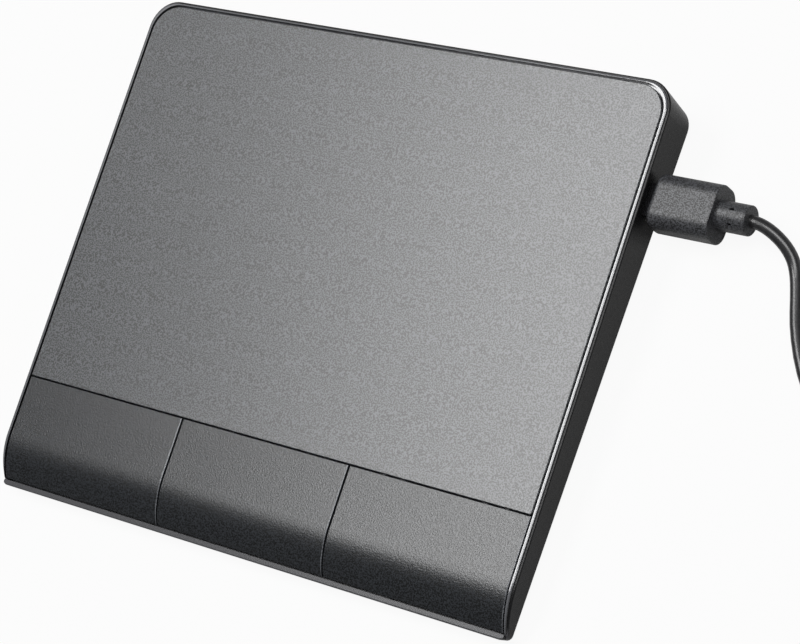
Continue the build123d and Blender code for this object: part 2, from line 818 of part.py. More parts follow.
overmould_x = port_wall_x + overmould_gap
plug_face = Plane(origin=(overmould_x, port_y, port_z), x_dir=(0, 1, 0), z_dir=(1, 0, 0))
plug_shell_width = port_width - 2 * port_metal - fit_gap * 2
plug_shell_height = port_height - 2 * port_metal - fit_gap * 2
plug_corner = port_corner - port_metal
plug_metal_length = overmould_gap + port_recess + plug_reach - port_back_thickness
with BuildPart() as device_plug_shell:
    with BuildSketch(plug_face):
        RectangleRounded(plug_shell_width, plug_shell_height, plug_corner)
        Rectangle(plug_shell_width - 2 * plug_metal, plug_shell_height - 2 * plug_metal, mode=Mode.SUBTRACT)
    extrude(amount=-plug_metal_length)
finish(device_plug_shell, "device_plug_shell")

# The core fills the lower half of the plug's metal, under the tongue
core_height = plug_shell_height / 2 - plug_metal - fit_gap
with BuildPart() as device_plug_core:
    with BuildSketch(plug_face):
        with Locations((0, -(plug_shell_height / 2 - plug_metal) + core_height / 2 + running_gap)):
            Rectangle(plug_shell_width - 2 * plug_metal - fit_gap, core_height)
    extrude(amount=-plug_metal_length + fit_gap)
finish(device_plug_core, "device_plug_core")

# Overmould with rounded edges, and a perforated strain relief
relief_face = plug_face.offset(overmould_length)
with BuildPart() as device_plug:
    with BuildSketch(plug_face):
        RectangleRounded(overmould_width, overmould_height, overmould_corner)
    extrude(amount=overmould_length)
    fillet(faces().sort_by(Axis.X)[0].edges(), overmould_rear_edge)
    fillet(faces().sort_by(Axis.X)[-1].edges(), overmould_front_edge)
    with BuildSketch(relief_face):
        Circle(relief_diameter / 2)
    extrude(amount=relief_length)
    fillet(faces().sort_by(Axis.X)[-1].edges(), relief_edge)
    for step in range(relief_hole_count):
        turn = radians(relief_hole_turn + 360 * step / relief_hole_count)
        outward = (0, cos(turn), sin(turn))
        place = (
            relief_face.origin.X + relief_hole_place,
            port_y + relief_diameter / 2 * cos(turn),
            port_z + relief_diameter / 2 * sin(turn),
        )
        with BuildSketch(Plane(origin=place, x_dir=(1, 0, 0), z_dir=outward)):
            SlotOverall(relief_hole_length, relief_hole_width)
        extrude(amount=-relief_hole_depth, mode=Mode.SUBTRACT)
finish(device_plug, "device_plug")

# The cord leaves the strain relief, drops to the table and runs to its coil
exit_x = relief_face.origin.X + relief_length
coil_z = tie_thickness + tie_gap + cord_diameter / 2
coil_start = (coil_x - coil_outer_radius, coil_y, coil_z)
cord_points = [
    (exit_x, port_y, port_z),
    (89.1, port_y, port_z),
    (92.6, 30.2, 3.6),
    (94.6, 27.2, 1.9),
    (96.0, 23.4, 1.3),
    (98.9, 15.0, 1.3),
    (104.0, 6.0, 1.3),
    (111.5, -1.5, 1.3),
    (118.5, -7.5, 1.4),
    (123.2, -12.5, 1.7),
    (coil_start[0], -17.2, coil_z),
    coil_start,
]


def corner_radii(points):
    """Radius of each corner's arc: 0.45 of the shorter run beside it, over the tangent of half its turn."""
    radii = []
    for before, corner, after in zip(points, points[1:], points[2:]):
        run_in = Vector(*corner) - Vector(*before)
        run_out = Vector(*after) - Vector(*corner)
        turn = run_in.get_angle(run_out)
        radii.append(0.45 * min(run_in.length, run_out.length) / tan(radians(turn / 2)))
    return radii


def sweep_cord(builder_name, points):
    """Sweeps the round section of the cord along straight runs and tangent arcs, and prints its radii."""
    radii = corner_radii(points)
    print(builder_name, "radii", [round(r, 1) for r in radii])
    with BuildPart() as tube:
        with BuildLine() as route:
            FilletPolyline(*points, radius=radii)
        path = route.wires()[0]
        with BuildSketch(Plane(origin=path @ 0, z_dir=path % 0)):
            Circle(cord_diameter / 2)
        sweep(path=path)
    length = path.length
    expected = pi * cord_diameter**2 / 4 * length
    print(builder_name, "length", round(length, 1), "volume share", round(tube.part.volume / expected, 4))
    finish(tube, builder_name)
    return length


stretch_length = sweep_cord("usb_cord", cord_points)

# Coil: half circles whose radius falls and grows by half a pitch, with each climb along a tilted half circle
half_steps = list(range(layer_half_turns))
steps = half_steps + [layer_half_turns] + half_steps[:0:-1] + [0] + half_steps[1:] + [layer_half_turns]
steps += half_steps[::-1]
climbs = [layer_half_turns, 2 * layer_half_turns, 3 * layer_half_turns]
coil_points = [Vector(*coil_start)]
coil_arcs = []
heading = 1
for index, step in enumerate(steps):
    radius = coil_outer_radius - step * coil_pitch / 2
    start = coil_points[-1]
    rise = coil_pitch if index in climbs else 0
    end = start + Vector(2 * heading * radius, 0, rise)
    middle = (start + end) / 2 - Vector(0, heading * (end - start).length / 2, 0)
    coil_arcs.append((start, middle, end))
    coil_points.append(end)
    heading = -heading

with BuildPart() as cord_coil:
    with BuildLine() as coil_route:
        for start, middle, end in coil_arcs:
            ThreePointArc(start, middle, end)
    coil_path = coil_route.wires()[0]
    with BuildSketch(Plane(origin=coil_path @ 0, z_dir=coil_path % 0)):
        Circle(cord_diameter / 2)
    sweep(path=coil_path)
coil_length = coil_path.length
finish(cord_coil, "cord_coil")

# Least gap of the coil to itself, over points along it that are more than half a turn apart
samples = []
for start, middle, end in coil_arcs:
    centre = (start + end) / 2
    for part in range(12):
        turn = pi * part / 12
        samples.append(centre + (start - centre) * cos(turn) + (middle - centre) * sin(turn))
least = min(
    (samples[i] - samples[j]).length for i in range(len(samples)) for j in range(i + 9, len(samples))
)
print("coil turns", len(coil_arcs) / 2, "length", round(coil_length, 1), "least gap", round(least - cord_diameter, 3))
coil_volume = pi * cord_diameter**2 / 4 * coil_length
print("coil volume share", round(cord_coil.part.volume / coil_volume, 4))

# Two flat ties round the coil, where the turns lie side by side
coil_top = coil_z + 3 * coil_pitch + cord_diameter / 2
inner_radius = coil_outer_radius - layer_half_turns * coil_pitch / 2 - cord_diameter / 2
tie_inner = sqrt(inner_radius**2 - (tie_width / 2) ** 2) - tie_gap - coil_pitch / 2
tie_outer = coil_outer_radius + cord_diameter / 2 + tie_gap + coil_pitch / 4
for name, way in (("front_tie", -1), ("rear_tie", 1)):
    with BuildPart() as tie:
        with BuildSketch(Plane.YZ.offset(coil_x - tie_width / 2)):
            with Locations((coil_y + way * (tie_inner + tie_outer) / 2, (coil_top + tie_gap + tie_thickness) / 2)):
                RectangleRounded(
                    tie_outer - tie_inner + 2 * tie_thickness,
                    coil_top + tie_gap + tie_thickness,
                    tie_corner,
                )
                RectangleRounded(
                    tie_outer - tie_inner,
                    coil_top + tie_gap - tie_thickness,
                    tie_corner - tie_thickness,
                    mode=Mode.SUBTRACT,
                )
        extrude(amount=tie_width)
    finish(tie, name)

# The end of the cord comes down from the coil to its plug on the table
coil_end = coil_points[-1]
far_plug_z = far_body_height / 2
end_points = [
    (coil_end.X, coil_end.Y, coil_end.Z),
    (coil_end.X, -16.0, coil_end.Z),
    (163.7, -8.0, 9.1),
    (164.5, 0.0, 6.1),
    (far_plug_x, 7.0, far_plug_z),
    (far_plug_x, far_plug_y, far_plug_z),
]
end_length = sweep_cord("cord_end", end_points)
print("cord length in all", round(stretch_length + coil_length + end_length, 1))

far_plug_face = Plane(origin=(far_plug_x, far_plug_y, far_plug_z), x_dir=(1, 0, 0), z_dir=(0, 1, 0))
far_body_face = far_plug_face.offset(far_relief_length)
far_shell_face = far_body_face.offset(far_body_length)
with BuildPart() as far_plug:
    with BuildSketch(far_plug_face):
        Circle(far_relief_diameter / 2 - relief_edge)
    with BuildSketch(far_body_face):
        Circle(far_relief_diameter / 2 + relief_edge)
    loft()
    with BuildSketch(far_body_face):
        RectangleRounded(far_body_width, far_body_height, far_body_edge)
    extrude(amount=far_body_length)
    fillet(faces().sort_by(Axis.Y)[-1].edges(), far_body_edge / 3)
finish(far_plug, "far_plug")

with BuildPart() as far_plug_shell:
    with BuildSketch(far_shell_face):
        RectangleRounded(far_shell_width, far_shell_height, far_metal * 2)
        RectangleRounded(
            far_shell_width - 2 * far_metal, far_shell_height - 2 * far_metal, far_metal, mode=Mode.SUBTRACT
        )
    extrude(amount=far_shell_length)
    with BuildSketch(Plane.XY.offset(far_plug_z)):
        with Locations((far_plug_x, far_shell_face.origin.Y + latch_hole_place)):
            with GridLocations(2 * latch_hole_offset, 0, 2, 1):
                Rectangle(latch_hole, latch_hole)
    extrude(amount=far_shell_height, both=True, mode=Mode.SUBTRACT)
finish(far_plug_shell, "far_plug_shell")

insulator_level = -(far_shell_height / 2 - far_metal) + far_insulator_thickness / 2 + running_gap
with BuildPart() as far_plug_insulator:
    with BuildSketch(far_shell_face):
        with Locations((0, insulator_level)):
            RectangleRounded(far_shell_width - 2 * far_metal - fit_gap, far_insulator_thickness, far_metal)
    extrude(amount=far_insulator_length)
finish(far_plug_insulator, "far_plug_insulator")

with BuildPart() as far_plug_contacts:
    with BuildSketch(far_shell_face):
        with Locations((0, insulator_level + (far_insulator_thickness + far_contact_height) / 2)):
            with GridLocations(far_contact_pitch, 0, far_contact_count, 1):
                Rectangle(far_contact_width, far_contact_height)
    extrude(amount=far_contact_length)
finish(far_plug_contacts, "far_plug_contacts")
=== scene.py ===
"""A wired desk trackpad in black moulded plastic, with its USB cord, in a plain white studio."""

import logging
import math
from collections.abc import Iterable, Mapping
from dataclasses import dataclass
from enum import Enum
from typing import Protocol

import bmesh
import bpy
from mathutils import Matrix, Vector


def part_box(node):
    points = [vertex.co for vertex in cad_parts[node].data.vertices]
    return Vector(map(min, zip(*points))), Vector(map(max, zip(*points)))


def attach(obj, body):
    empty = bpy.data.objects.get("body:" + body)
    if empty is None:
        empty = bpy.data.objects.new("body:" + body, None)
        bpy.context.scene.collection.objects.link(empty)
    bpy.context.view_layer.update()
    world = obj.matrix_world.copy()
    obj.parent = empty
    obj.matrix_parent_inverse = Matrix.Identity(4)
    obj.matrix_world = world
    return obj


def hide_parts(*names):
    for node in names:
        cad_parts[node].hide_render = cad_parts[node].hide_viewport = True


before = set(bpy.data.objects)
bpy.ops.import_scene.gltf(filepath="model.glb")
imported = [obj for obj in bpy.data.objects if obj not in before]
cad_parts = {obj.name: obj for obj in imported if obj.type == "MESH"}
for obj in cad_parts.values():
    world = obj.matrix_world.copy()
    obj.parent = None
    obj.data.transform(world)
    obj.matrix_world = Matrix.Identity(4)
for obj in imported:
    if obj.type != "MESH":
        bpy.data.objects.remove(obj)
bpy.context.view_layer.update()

LOG = logging.getLogger("trackpad")
MM = 0.001
HOUSING = "housing"
WHITE = (1.0, 1.0, 1.0, 1.0)
# The span that a noise texture's values hardly leave
NOISE_LOW, NOISE_HIGH = 0.3, 0.7
# The part of that span in which the pigment turns from a grain's valley to its tip
TIP_LOW, TIP_HIGH = 0.41, 0.59
# Detail of the noise that makes round grains, and of the one that makes ragged patches and lines
ROUND_DETAIL = 0.6
RAGGED_DETAIL = 3.0
# Inputs and outputs of a mixing node, which share their names, by number
NUMBER_A, NUMBER_B, NUMBER_OUT = 2, 3, 0
COLOUR_A, COLOUR_B, COLOUR_OUT = 6, 7, 2

Colour = tuple[float, float, float, float]
Point = tuple[float, float, float]


def linear(colour: str) -> Colour:
    """Turns an sRGB hex colour into linear RGBA.

    Args:
        colour: Six hex digits after a hash.

    Returns:
        The linear red, green and blue, with an alpha of 1.
    """
    channels = [int(colour[place : place + 2], 16) / 255 for place in (1, 3, 5)]
    red, green, blue = (
        c / 12.92 if c <= 0.04045 else ((c + 0.055) / 1.055) ** 2.4 for c in channels
    )
    return (red, green, blue, 1.0)


def add_node(
    tree: bpy.types.NodeTree,
    kind: str,
    inputs: Mapping[str | int, object] | None = None,
    **settings: object,
) -> bpy.types.Node:
    """Adds a node with its settings and links.

    Args:
        tree: The tree that takes the node.
        kind: The node's type.
        inputs: A value, or the output socket to link, for each input named or numbered.
        settings: The node's own settings.

    Returns:
        The new node.
    """
    node = tree.nodes.new(kind)
    for name, value in settings.items():
        setattr(node, name, value)
    for key, value in (inputs or {}).items():
        if isinstance(value, bpy.types.NodeSocket):
            tree.links.new(value, node.inputs[key])
        else:
            node.inputs[key].default_value = value
    return node


def blank_material(name: str) -> tuple[bpy.types.Material, bpy.types.NodeTree]:
    """Makes a material whose node tree is empty.

    Args:
        name: The material's name.

    Returns:
        The material and its tree.
    """
    material = bpy.data.materials.new(name)
    material.use_nodes = True
    material.node_tree.nodes.clear()
    return material, material.node_tree


@dataclass(frozen=True)
class PaintedHighlight:
    """A highlight painted on a moulding, as a paler pigment and a glossier surface: on the faces
    that look one way, in front of one line.

    Attributes:
        colour: The pigment's colour where the highlight is painted.
        roughness: The roughness where the highlight is painted.
        way: The way that the highlighted faces look.
        start: How far a face looks that way where the painted highlight begins.
        full: How far it looks that way where the painted highlight is full.
        front_line: Y of a line behind which no highlight is painted, in metres, or none for no
            line.
        fade: How far in front of that line the painted highlight is full, in millimetres.
        patch: Width of a patch of the painted highlight, in millimetres.
        patchy: How far the patches shift the painted highlight.
    """

    colour: str
    roughness: float
    way: Point
    start: float
    full: float
    front_line: float | None = None
    fade: float = 1.0
    patch: float = 4.0
    patchy: float = 0.2

    def share(self, tree: bpy.types.NodeTree, place: bpy.types.Node) -> bpy.types.NodeSocket:
        """Works out how much painted highlight each spot takes.

        Args:
            tree: The tree.
            place: The node that gives the spot's coordinates.

        Returns:
            The output that is 0 where no highlight is painted and 1 where it is painted in full.
        """
        looks = add_node(
            tree,
            "ShaderNodeVectorMath",
            {0: place.outputs["Normal"], 1: self.way},
            operation="DOT_PRODUCT",
        )
        patches = add_node(
            tree,
            "ShaderNodeTexNoise",
            {
                "Vector": place.outputs["Object"],
                "Scale": 1 / (self.patch * MM),
                "Detail": RAGGED_DETAIL,
            },
        )
        shift = add_node(
            tree,
            "ShaderNodeMapRange",
            {
                "Value": patches.outputs["Fac"],
                "From Min": NOISE_LOW,
                "From Max": NOISE_HIGH,
                "To Min": -self.patchy,
                "To Max": self.patchy,
            },
            clamp=False,
        )
        share = add_node(
            tree,
            "ShaderNodeMapRange",
            {"Value": looks.outputs["Value"], "From Min": self.start, "From Max": self.full},
            clamp=False,
        )
        highlighted = add_node(
            tree,
            "ShaderNodeMath",
            {0: share.outputs["Result"], 1: shift.outputs["Result"]},
            operation="ADD",
            use_clamp=True,
        )
        if self.front_line is None:
            return highlighted.outputs[0]
        parts = add_node(tree, "ShaderNodeSeparateXYZ", {0: place.outputs["Object"]})
        ahead = add_node(
            tree,
            "ShaderNodeMapRange",
            {
                "Value": parts.outputs["Y"],
                "From Min": self.front_line,
                "From Max": self.front_line - self.fade * MM,
            },
        )
        kept = add_node(
            tree,
            "ShaderNodeMath",
            {0: highlighted.outputs[0], 1: ahead.outputs["Result"]},
            operation="MULTIPLY",
        )
        return kept.outputs[0]


@dataclass(frozen=True)
class MouldedPlastic:
    """Moulded plastic, whose grain comes from the spark-eroded or blasted wall of its mould.

    Attributes:
        name: What the plastic is and how its surface was made.
        colour: The pigment's colour in the grain's valleys.
        roughness: How satin the surface is.
        spread: How much duller the grain's valleys are, and how much glossier its tips.
        grain: Width of a grain, in millimetres, drawn as coarse as it needs to show.
        depth: Height of a grain, in millimetres.
        tips: The colour on the grain's tips, or none for a plain pigment.
        shine: Strength of the surface's reflection, where 0.5 is plain plastic.
        painted_highlight: Where a highlight is painted on it, as a paler pigment and a glossier
            surface, or none for a piece without one.
    """

    name: str
    colour: str
    roughness: float
    spread: float = 0.04
    grain: float = 0.5
    depth: float = 0.004
    tips: str | None = None
    shine: float = 0.5
    painted_highlight: PaintedHighlight | None = None

    def build(self) -> bpy.types.Material:
        """Builds the material from one fine noise that drives height, gloss and pigment alike.

        Returns:
            The material.
        """
        material, tree = blank_material(self.name)
        place = add_node(tree, "ShaderNodeTexCoord")
        grain = add_node(
            tree,
            "ShaderNodeTexNoise",
            {
                "Vector": place.outputs["Object"],
                "Scale": 1 / (self.grain * MM),
                "Detail": ROUND_DETAIL,
            },
        )
        satin = add_node(
            tree,
            "ShaderNodeMapRange",
            {
                "Value": grain.outputs["Fac"],
                "From Min": NOISE_LOW,
                "From Max": NOISE_HIGH,
                "To Min": self.roughness + self.spread,
                "To Max": self.roughness - self.spread,
            },
        ).outputs["Result"]
        tips = add_node(
            tree,
            "ShaderNodeMapRange",
            {"Value": grain.outputs["Fac"], "From Min": TIP_LOW, "From Max": TIP_HIGH},
        )
        pigment = add_node(
            tree,
            "ShaderNodeMix",
            {
                "Factor": tips.outputs["Result"],
                COLOUR_A: linear(self.colour),
                COLOUR_B: linear(self.tips or self.colour),
            },
            data_type="RGBA",
        ).outputs[COLOUR_OUT]
        # Painted highlight: a paler pigment and a lower roughness, mixed in by the highlight's mask
        if self.painted_highlight:
            share = self.painted_highlight.share(tree, place)
            pigment = add_node(
                tree,
                "ShaderNodeMix",
                {"Factor": share, COLOUR_A: pigment, COLOUR_B: linear(self.painted_highlight.colour)},
                data_type="RGBA",
            ).outputs[COLOUR_OUT]
            satin = add_node(
                tree,
                "ShaderNodeMix",
                {"Factor": share, NUMBER_A: satin, NUMBER_B: self.painted_highlight.roughness},
            ).outputs[NUMBER_OUT]
        relief = add_node(
            tree,
            "ShaderNodeBump",
            {"Height": grain.outputs["Fac"], "Distance": self.depth * MM, "Strength": 1.0},
        )
        shader = add_node(
            tree,
            "ShaderNodeBsdfPrincipled",
            {
                "Base Color": pigment,
                "Roughness": satin,
                "Normal": relief.outputs["Normal"],
                "Specular IOR Level": self.shine,
            },
        )
        add_node(tree, "ShaderNodeOutputMaterial", {"Surface": shader.outputs["BSDF"]})
        return material


@dataclass(frozen=True)
class PlatedMetal:
    """Sheet or turned metal under a thin plating, with faint drawing lines along one way.

    Attributes:
        name: What the metal is and how it was finished.
        colour: The plating's colour.
        roughness: How satin the plating is.
        line: Width of a drawing line, in millimetres.
        stretch: How many times longer than wide a line is.
        uneven: How much duller or brighter a line is than the rest, as a share of the roughness.
        depth: Depth of a line, in millimetres.
        strength: How much of the lines' relief the light sees.
    """

    name: str
    colour: str
    roughness: float
    line: float = 0.12
    stretch: float = 12.0
    uneven: float = 0.3
    depth: float = 0.001
    strength: float = 0.6

    def build(self) -> bpy.types.Material:
        """Builds the material from a noise drawn out along the piece.

        Returns:
            The material.
        """
        material, tree = blank_material(self.name)
        place = add_node(tree, "ShaderNodeTexCoord")
        scale = 1 / (self.line * MM)
        drawn = add_node(
            tree,
            "ShaderNodeMapping",
            {"Vector": place.outputs["Object"], "Scale": (scale / self.stretch, scale, scale)},
        )
        lines = add_node(
            tree,
            "ShaderNodeTexNoise",
            {"Vector": drawn.outputs["Vector"], "Scale": 1.0, "Detail": RAGGED_DETAIL},
        )
        gloss = add_node(
            tree,
            "ShaderNodeMapRange",
            {
                "Value": lines.outputs["Fac"],
                "To Min": self.roughness * (1 - self.uneven),
                "To Max": self.roughness * (1 + self.uneven),
            },
        )
        relief = add_node(
            tree,
            "ShaderNodeBump",
            {
                "Height": lines.outputs["Fac"],
                "Distance": self.depth * MM,
                "Strength": self.strength,
            },
        )
        shader = add_node(
            tree,
            "ShaderNodeBsdfPrincipled",
            {
                "Base Color": linear(self.colour),
                "Metallic": 1.0,
                "Roughness": gloss.outputs["Result"],
                "Normal": relief.outputs["Normal"],
            },
        )
        add_node(tree, "ShaderNodeOutputMaterial", {"Surface": shader.outputs["BSDF"]})
        return material


@dataclass(frozen=True)
class CircuitBoard:
    """Glass-epoxy board under a green solder mask, through which its copper tracks show paler.

    Attributes:
        name: What the board is and how it was finished.
        mask: Colour of the mask over bare board.
        copper: Colour of the mask over copper.
        pitch: Distance between tracks, in millimetres.
        track: Width of a track, in pitches.
        run: Distance between cross tracks, in pitches.
        stagger: How far each row is shifted along the next, in runs.
        depth: Height of a track, in millimetres.
        strength: How much of the tracks' relief the light sees.
        roughness: How satin the mask is.
    """

    name: str
    mask: str
    copper: str
    pitch: float = 1.6
    track: float = 0.12
    run: float = 3.5
    stagger: float = 0.35
    depth: float = 0.03
    strength: float = 0.7
    roughness: float = 0.32

    def build(self) -> bpy.types.Material:
        """Builds the material from a brick pattern whose mortar lines are the tracks.

        Returns:
            The material.
        """
        material, tree = blank_material(self.name)
        place = add_node(tree, "ShaderNodeTexCoord")
        tracks = add_node(
            tree,
            "ShaderNodeTexBrick",
            {
                "Vector": place.outputs["Object"],
                "Color1": linear(self.mask),
                "Color2": linear(self.mask),
                "Mortar": linear(self.copper),
                "Scale": 1 / (self.pitch * MM),
                "Mortar Size": self.track,
                "Brick Width": self.run,
                "Row Height": 1.0,
            },
            offset=self.stagger,
        )
        relief = add_node(
            tree,
            "ShaderNodeBump",
            {
                "Height": tracks.outputs["Fac"],
                "Distance": self.depth * MM,
                "Strength": self.strength,
            },
        )
        shader = add_node(
            tree,
            "ShaderNodeBsdfPrincipled",
            {
                "Base Color": tracks.outputs["Color"],
                "Roughness": self.roughness,
                "Normal": relief.outputs["Normal"],
            },
        )
        add_node(tree, "ShaderNodeOutputMaterial", {"Surface": shader.outputs["BSDF"]})
        return material


@dataclass(frozen=True)
class FlatFlex:
    """Flat flex cable: tinned conductors side by side, laminated between two clear films.

    Attributes:
        name: What the cable is and how it was made.
        film: Colour of the film over the gaps.
        conductor: Colour of the film over the conductors.
        pitch: Distance between conductors, in millimetres.
        roughness: How satin the film is.
    """

    name: str
    film: str
    conductor: str
    pitch: float = 0.5
    roughness: float = 0.28

    def build(self) -> bpy.types.Material:
        """Builds the material from bands that run along the cable.

        Returns:
            The material.
        """
        material, tree = blank_material(self.name)
        place = add_node(tree, "ShaderNodeTexCoord")
        # At a scale of 1 the texture's bands lie a tenth of pi apart
        bands = add_node(
            tree,
            "ShaderNodeTexWave",
            {"Vector": place.outputs["Object"], "Scale": math.pi / (10 * self.pitch * MM)},
            wave_type="BANDS",
            bands_direction="X",
        )
        colours = add_node(
            tree,
            "ShaderNodeMix",
            {
                "Factor": bands.outputs["Fac"],
                COLOUR_A: linear(self.film),
                COLOUR_B: linear(self.conductor),
            },
            data_type="RGBA",
        )
        shader = add_node(
            tree,
            "ShaderNodeBsdfPrincipled",
            {"Base Color": colours.outputs[COLOUR_OUT], "Roughness": self.roughness},
        )
        add_node(tree, "ShaderNodeOutputMaterial", {"Surface": shader.outputs["BSDF"]})
        return material


class Finish(Enum):
    """Every finish on the trackpad, named for what it is made of."""

    # Spark-eroded texture over the touch surface: a satin sheen, broken up by light and dark grains
    TOUCH_ABS = MouldedPlastic(
        "touch_abs",
        "#090A0B",
        0.31,
        spread=0.02,
        grain=0.30,
        depth=0.020,
        tips="#414346",
        shine=0.58,
    )
    # The same texture on the buttons, a little darker and deeper. Their right-hand edges carry a
    # painted
    # highlight: a paler pigment, with a glossier surface
    BUTTON_ABS = MouldedPlastic(
        "button_abs",
        "#0B0C0D",
        0.30,
        spread=0.03,
        grain=0.30,
        depth=0.028,
        tips="#242629",
        shine=0.48,
        painted_highlight=PaintedHighlight("#6A6C70", 0.20, (0.707, 0.0, 0.707), 0.80, 0.95, patchy=0.05),
    )
    # Satin walls of the tub, straight from a lightly blasted mould. Its front lip carries a painted
    # highlight: a paler pigment, with a glossier surface
    SATIN_ABS = MouldedPlastic(
        "satin_abs",
        "#121213",
        0.28,
        spread=0.03,
        grain=0.6,
        depth=0.002,
        tips="#161617",
        shine=0.15,
        painted_highlight=PaintedHighlight("#3E3E40", 0.24, (0.0, -0.6, 0.8), 0.3, 0.55, front_line=-0.0515),
    )
    # The rim's narrow lands carry a painted highlight, paler and glossier, and its risers and
    # groove stay dull
    SMOOTH_ABS = MouldedPlastic(
        "smooth_abs",
        "#0A0A0B",
        0.4,
        spread=0.02,
        grain=0.8,
        depth=0.0,
        shine=0.85,
        painted_highlight=PaintedHighlight("#4C4D50", 0.15, (0.0, -0.05, 1.0), 0.35, 0.75, patchy=0.12),
    )
    # Soft overmould of the plugs, blasted to a fine leather-like grain
    OVERMOULD_PVC = MouldedPlastic(
        "overmould_pvc",
        "#151516",
        0.42,
        spread=0.06,
        grain=0.26,
        depth=0.014,
        tips="#3E3F42",
        shine=0.35,
    )
    # Extruded jacket of the cord: near smooth and glossy
    CORD_PVC = MouldedPlastic(
        "cord_pvc", "#1C1C1D", 0.30, spread=0.03, grain=0.9, depth=0.002, tips="#242425"
    )
    # Strap of the ties: smooth polyethylene
    TIE_POLYETHYLENE = MouldedPlastic(
        "tie_polyethylene", "#222223", 0.38, spread=0.03, grain=0.8, depth=0.003, tips="#29292A"
    )
    # Silicone feet: matt, with a dusty bloom
    FOOT_RUBBER = MouldedPlastic(
        "foot_rubber", "#2B2B2B", 0.72, spread=0.06, depth=0.008, tips="#373736"
    )
    # Matt epoxy, nylon and ceramic of the electronics, and the pale insulator and adhesive film
    CHIP_EPOXY = MouldedPlastic(
        "chip_epoxy", "#1C1C1D", 0.55, spread=0.05, grain=0.2, depth=0.003, tips="#262627"
    )
    SWITCH_NYLON = MouldedPlastic(
        "switch_nylon", "#222223", 0.45, grain=0.3, depth=0.003, tips="#29292A"
    )
    PLUNGER_NYLON = MouldedPlastic(
        "plunger_nylon", "#868684", 0.5, grain=0.3, depth=0.003, tips="#929290"
    )
    SOCKET_NYLON = MouldedPlastic(
        "socket_nylon", "#D2CCBA", 0.45, grain=0.3, depth=0.003, tips="#DCD6C4"
    )
    INSULATOR_PBT = MouldedPlastic(
        "insulator_pbt", "#E1DFD9", 0.4, spread=0.03, depth=0.002, tips="#E9E7E1"
    )
    CAPACITOR_CERAMIC = MouldedPlastic(
        "capacitor_ceramic", "#A3855D", 0.5, grain=0.2, depth=0.003, tips="#B09269"
    )
    ADHESIVE_FILM = MouldedPlastic(
        "adhesive_film", "#D8D6CE", 0.6, spread=0.03, grain=1.0, tips="#DFDDD5"
    )
    # Nickel over folded steel. On the device plug's shell it is darkened into painted shade, which
    # shows as a dark band between the overmould and the wall
    NICKEL_STEEL = PlatedMetal("nickel_plated_steel", "#C9C7C2", 0.24)
    BLACK_NICKEL = PlatedMetal("nickel_steel_painted_shade", "#4A4A4E", 0.42)
    # Zinc over the screws, the crystal's plain can, and gold over brass contacts
    ZINC_STEEL = PlatedMetal("zinc_plated_steel", "#A3A5A8", 0.34, line=0.2, stretch=2.0)
    CRYSTAL_CAN = PlatedMetal("crystal_can", "#C4C4C2", 0.2, line=0.2, stretch=2.0)
    CONTACT_GOLD = PlatedMetal("contact_gold", "#D9A94A", 0.2)
    # Boards and flex cables
    SOLDER_MASK = CircuitBoard("solder_mask_board", "#0F4A2A", "#2C7A45")
    FLEX_FILM = FlatFlex("flat_flex_film", "#E4E2DA", "#A9ABAC")

    @property
    def material(self) -> bpy.types.Material:
        """The finish's material, built when it is first asked for."""
        return bpy.data.materials.get(self.value.name) or self.value.build()


def dress(names: Iterable[str], finish: Finish) -> None:
    """Gives nodes of the frame their material.

    Args:
        names: The nodes.
        finish: What they are made of.
    """
    for name in names:
        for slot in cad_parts[name].material_slots:
            slot.link = "DATA"
            slot.material = finish.material
        LOG.info("%s: %s", name, finish.value.name)


class Assembly(Protocol):
    """A group of things that builds itself into the scene."""

    def build(self) -> None:
        """Builds the group."""


@dataclass
class Housing:
    """The tub, its bezel, the feet and the screws.

    Attributes:
        feet: The four feet.
    """

    feet: tuple[str, ...] = (
        "rear_left_foot",
        "rear_right_foot",
        "front_left_foot",
        "front_right_foot",
    )

    def build(self) -> None:
        """Dresses the tub, the bezel, the feet and the screws."""
        dress(["base_case"], Finish.SATIN_ABS)
        dress(["bezel_frame"], Finish.SMOOTH_ABS)
        dress(self.feet, Finish.FOOT_RUBBER)
        dress(["housing_screws", "board_screws"], Finish.ZINC_STEEL)


@dataclass
class TouchSurface:
    """The touch surface with the sensor that is glued under it."""

    def build(self) -> None:
        """Dresses the touch surface and the sensor."""
        dress(["touch_surface"], Finish.TOUCH_ABS)
        dress(["adhesive_sheet"], Finish.ADHESIVE_FILM)
        dress(["sensor_board"], Finish.SOLDER_MASK)
        dress(["touch_chip"], Finish.CHIP_EPOXY)
        dress(["sensor_socket"], Finish.SOCKET_NYLON)


@dataclass
class Buttons:
    """Three buttons, each with its tactile switch.

    Attributes:
        sides: What the names of a button and its switch begin with.
    """

    sides: tuple[str, ...] = ("left", "middle", "right")

    def build(self) -> None:
        """Dresses the buttons and their switches."""
        for side in self.sides:
            dress([f"{side}_button"], Finish.BUTTON_ABS)
            dress([f"{side}_switch_body"], Finish.SWITCH_NYLON)
            dress([f"{side}_switch_plunger"], Finish.PLUNGER_NYLON)
        dress(["switch_board"], Finish.SOLDER_MASK)


@dataclass
class Electronics:
    """The main board with what is on it, the flex cables with their sockets, and the port."""

    def build(self) -> None:
        """Dresses the board, what is on it, the cables and the port."""
        dress(["main_board"], Finish.SOLDER_MASK)
        dress(["controller_chip"], Finish.CHIP_EPOXY)
        dress(["crystal"], Finish.CRYSTAL_CAN)
        dress(["board_capacitors"], Finish.CAPACITOR_CERAMIC)
        sockets = ["sensor_flex_socket", "switch_flex_socket", "switch_board_socket"]
        dress(sockets, Finish.SOCKET_NYLON)
        dress(["sensor_flex_cable", "switch_flex_cable"], Finish.FLEX_FILM)
        dress(["port_shell"], Finish.NICKEL_STEEL)
        dress(["port_tongue"], Finish.CHIP_EPOXY)


